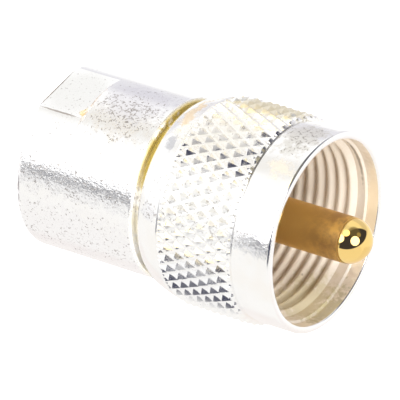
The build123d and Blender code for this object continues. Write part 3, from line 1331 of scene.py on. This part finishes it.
@dataclass
class Internals:
    """Insulators, clamp and ring, whose CAD shapes stay and get their finish."""

    kit: EffectKit

    def make(self) -> None:
        """Dress every carried-over node."""
        white = PlainFinish(
            name="white_insulator",
            colour=(0.88, 0.87, 0.84),
            second=(0.80, 0.78, 0.73),
            rough=0.35,
            grain=1.2,
            bump=2.0,
        ).build()
        black = PlainFinish(
            name="gasket_black",
            colour=(0.030, 0.029, 0.028),
            second=(0.055, 0.052, 0.050),
            rough=0.55,
            grain=3.0,
            bump=6.0,
        ).build()
        nickel = PlatedFinish(
            name="clamp_nickel",
            colour=(0.76, 0.72, 0.65),
            second=(0.66, 0.60, 0.50),
            rough=0.28,
            pits=0.2,
        ).build(self.kit)
        bronze = PlatedFinish(
            name="ring_bronze",
            colour=(0.72, 0.50, 0.26),
            second=(0.50, 0.34, 0.18),
            rough=0.33,
            pits=0.2,
        ).build(self.kit)
        finishes = {
            "front_insulator": white,
            "rear_insulator": white,
            "gasket": black,
            "gland_nut": nickel,
            "clamp_washer": nickel,
            "braid_clamp": nickel,
            "retaining_ring": bronze,
        }
        for node, material in finishes.items():
            dress(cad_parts[node], material)
            log.info("%s: dressed", node)


def direction_at(azimuth: float, elevation: float) -> Vector:
    """Give the direction at an azimuth from +X and an elevation, both in degrees."""
    flat = cos(radians(elevation))
    return Vector((flat * cos(radians(azimuth)), flat * sin(radians(azimuth)), sin(radians(elevation))))


@dataclass(frozen=True)
class TentPatch:
    """A round or tall part of the light tent that has its own brightness.

    Attributes:
        azimuth: Its direction from the plug in degrees, counted from +X.
        elevation: Its height above the horizon in degrees.
        width: Half its width in degrees.
        soft: Width of its soft edge in degrees.
        colour: Its colour.
        strength: Its weight.
        flatten: How much it is stretched up and down; 1 is round, 0.2 a tall stripe.
    """

    azimuth: float
    elevation: float
    width: float
    soft: float
    colour: Colour
    strength: float = 1.0
    flatten: float = 1.0


@dataclass(frozen=True)
class SoftBox:
    """A square lamp that points at the plug.

    Attributes:
        name: Name of the lamp.
        azimuth: Direction from the plug in degrees, counted from +X.
        elevation: Height above the horizon in degrees.
        distance: Distance from the plug in metres.
        size: Side of the lamp in metres.
        power: Power in watts.
    """

    name: str
    azimuth: float
    elevation: float
    distance: float
    size: float
    power: float


# Tall stripes of the white tent, and the patches that are laid over the dark room.
STRIPES = (
    TentPatch(-12.7, -30, 2.0, 6, (0.10, 0.10, 0.12), 0.8, 0.2),
    TentPatch(-168, -30, 12, 12, (0.80, 0.79, 0.84), 0.9, 0.2),
    TentPatch(-100, -30, 6, 10, (0.84, 0.82, 0.78), 0.6, 0.2),
    TentPatch(45, -30, 40, 16, (1.0, 0.985, 0.965), 0.9, 0.2),
    TentPatch(110, -30, 20, 12, (0.94, 0.89, 0.87), 0.8, 0.2),
)
ROOM_PATCHES = (
    TentPatch(-98, 30, 20, 14, (0.16, 0.15, 0.13), 0.8),
    TentPatch(-112, 50, 8, 4, (0.42, 0.38, 0.26), 0.9),
    TentPatch(-41, -16, 17, 2, (3.0, 3.0, 3.0)),
    TentPatch(-73, 2, 14, 3, (3.0, 2.6, 1.6)),
    TentPatch(-52, 56, 21, 2, (3.0, 3.0, 3.0)),
)
# The dark room fills the directions that lie ahead of both edges. An edge has the way that it faces
# and the two sines between which the room sets in.
ROOM_EDGES = (
    ((0.10, -0.99, 0.04), -0.03, 0.04),
    ((0.3618, 0.097, 0.927), 0.04, 0.14),
)
ROOM_COLOUR = (0.055, 0.058, 0.100)
TENT_COLOUR = (1.10, 1.10, 1.10)
WHITE = (1.0, 1.0, 1.0)
LAMPS = (
    SoftBox("key_box", -20, 55, 0.9, 0.35, 6.0),
    SoftBox("near_box", -75, 30, 0.7, 0.16, 2.0),
    SoftBox("low_box", -38, 12, 0.7, 0.14, 1.5),
)


@dataclass
class Studio:
    """Floor, soft light and camera of the photograph's view. Distances in metres."""

    camera_place: tuple[float, float, float] = (0.235308, -0.237432, 0.209227)
    camera_right: tuple[float, float, float] = (-0.547994, 0.137004, 0.825186)
    camera_down: tuple[float, float, float] = (0.575783, 0.777374, 0.253303)
    focal_pixels: float = 4554.0
    sensor_mm: float = 36.0
    nearest: float = 0.01
    floor_size: float = 6.0
    floor_colour: Colour = (0.93, 0.93, 0.93)
    floor_rough: float = 0.9
    floor_glow: float = 0.35

    def camera(self) -> None:
        """Set the camera where the photographer's stood."""
        right = Vector(self.camera_right)
        down = Vector(self.camera_down)
        back = down.cross(right)
        lens = bpy.data.cameras.new("photo_camera")
        lens.sensor_width = self.sensor_mm
        lens.lens = self.focal_pixels / PHOTO_WIDTH * self.sensor_mm
        lens.clip_start = self.nearest
        camera = bpy.data.objects.new("photo_camera", lens)
        bpy.context.scene.collection.objects.link(camera)
        turned = Matrix((right, -down, back)).transposed().to_4x4()
        camera.matrix_world = Matrix.Translation(Vector(self.camera_place)) @ turned
        bpy.context.scene.camera = camera

    def floor(self) -> None:
        """Lay the plain white floor."""
        deselect_all()
        bpy.ops.mesh.primitive_plane_add(size=self.floor_size, location=(0, 0, 0))
        floor = bpy.context.object
        floor.name = "studio_floor"
        material = bpy.data.materials.new("floor_white")
        material.use_nodes = True
        surface = material.node_tree.nodes["Principled BSDF"]
        surface.inputs["Base Color"].default_value = (*self.floor_colour, 1.0)
        surface.inputs["Roughness"].default_value = self.floor_rough
        surface.inputs["Emission Color"].default_value = (*WHITE, 1.0)
        surface.inputs["Emission Strength"].default_value = self.floor_glow
        floor.data.materials.append(material)
        floor.visible_glossy = False

    def lamp(self, box: SoftBox) -> None:
        """Hang one soft box.

        Args:
            box: Its place, size and power.
        """
        direction = direction_at(box.azimuth, box.elevation)
        light = bpy.data.lights.new(box.name, "AREA")
        light.shape = "SQUARE"
        light.size = box.size
        light.energy = box.power
        lamp = bpy.data.objects.new(box.name, light)
        bpy.context.scene.collection.objects.link(lamp)
        lamp.location = direction * box.distance
        lamp.rotation_euler = direction.to_track_quat("Z", "Y").to_euler()
        lamp.visible_camera = False
        lamp.visible_glossy = False

    def surroundings(self) -> None:
        """Paint the light tent: white cloth with the dark gaps that the metal mirrors."""
        world = bpy.data.worlds.new("light_tent")
        bpy.context.scene.world = world
        world.use_nodes = True
        board = NodeBoard(world.node_tree)
        background = world.node_tree.nodes["Background"]
        direction = board.add("ShaderNodeTexCoord").outputs["Generated"]
        colour = TENT_COLOUR
        for patch in STRIPES:
            colour = self.lay(board, direction, patch, colour)
        room = 1.0
        for normal, low, high in ROOM_EDGES:
            side = board.vector("DOT_PRODUCT", direction, normal).outputs["Value"]
            room = board.math("MULTIPLY", room, board.step(side, low, high))
        colour = board.mix(room, colour, ROOM_COLOUR)
        for patch in ROOM_PATCHES:
            colour = self.lay(board, direction, patch, colour)
        seen = board.add("ShaderNodeLightPath").outputs["Is Camera Ray"]
        shown = board.mix(seen, colour, WHITE)
        board.link(shown, background.inputs["Color"])

    def lay(
        self,
        board: NodeBoard,
        direction: bpy.types.NodeSocket,
        patch: TentPatch,
        colour: object,
    ) -> bpy.types.NodeSocket:
        """Lay one patch over what the tent shows so far.

        Args:
            board: The world's board.
            direction: Direction of the ray.
            patch: The patch.
            colour: The tent's colour so far.

        Returns:
            The new colour's socket.
        """
        squeeze = (1.0, 1.0, patch.flatten)
        squeezed = board.vector("MULTIPLY", direction, squeeze)
        ahead = board.vector("NORMALIZE", squeezed.outputs[0])
        aim = (direction_at(patch.azimuth, patch.elevation) * Vector(squeeze)).normalized()
        near = board.vector("DOT_PRODUCT", ahead.outputs[0], tuple(aim)).outputs["Value"]
        mask = board.step(near, cos(radians(patch.width + patch.soft)), cos(radians(patch.width)))
        return board.mix(board.math("MULTIPLY", mask, patch.strength), colour, patch.colour)

    def make(self) -> None:
        """Set up the whole studio."""
        self.camera()
        self.floor()
        self.surroundings()
        for box in LAMPS:
            self.lamp(box)
        bpy.context.scene.view_settings.view_transform = "Standard"


def main() -> None:
    """Build every piece in order."""
    logging.basicConfig(level=logging.INFO, format="%(name)s: %(message)s")
    Studio().make()
    kit = EffectKit()
    Barrel().make(kit)
    CouplingNut().make(kit)
    ContactPin().make(kit)
    Internals(kit).make()
    log.info("sizes written")


if __name__ == "__main__":
    main()
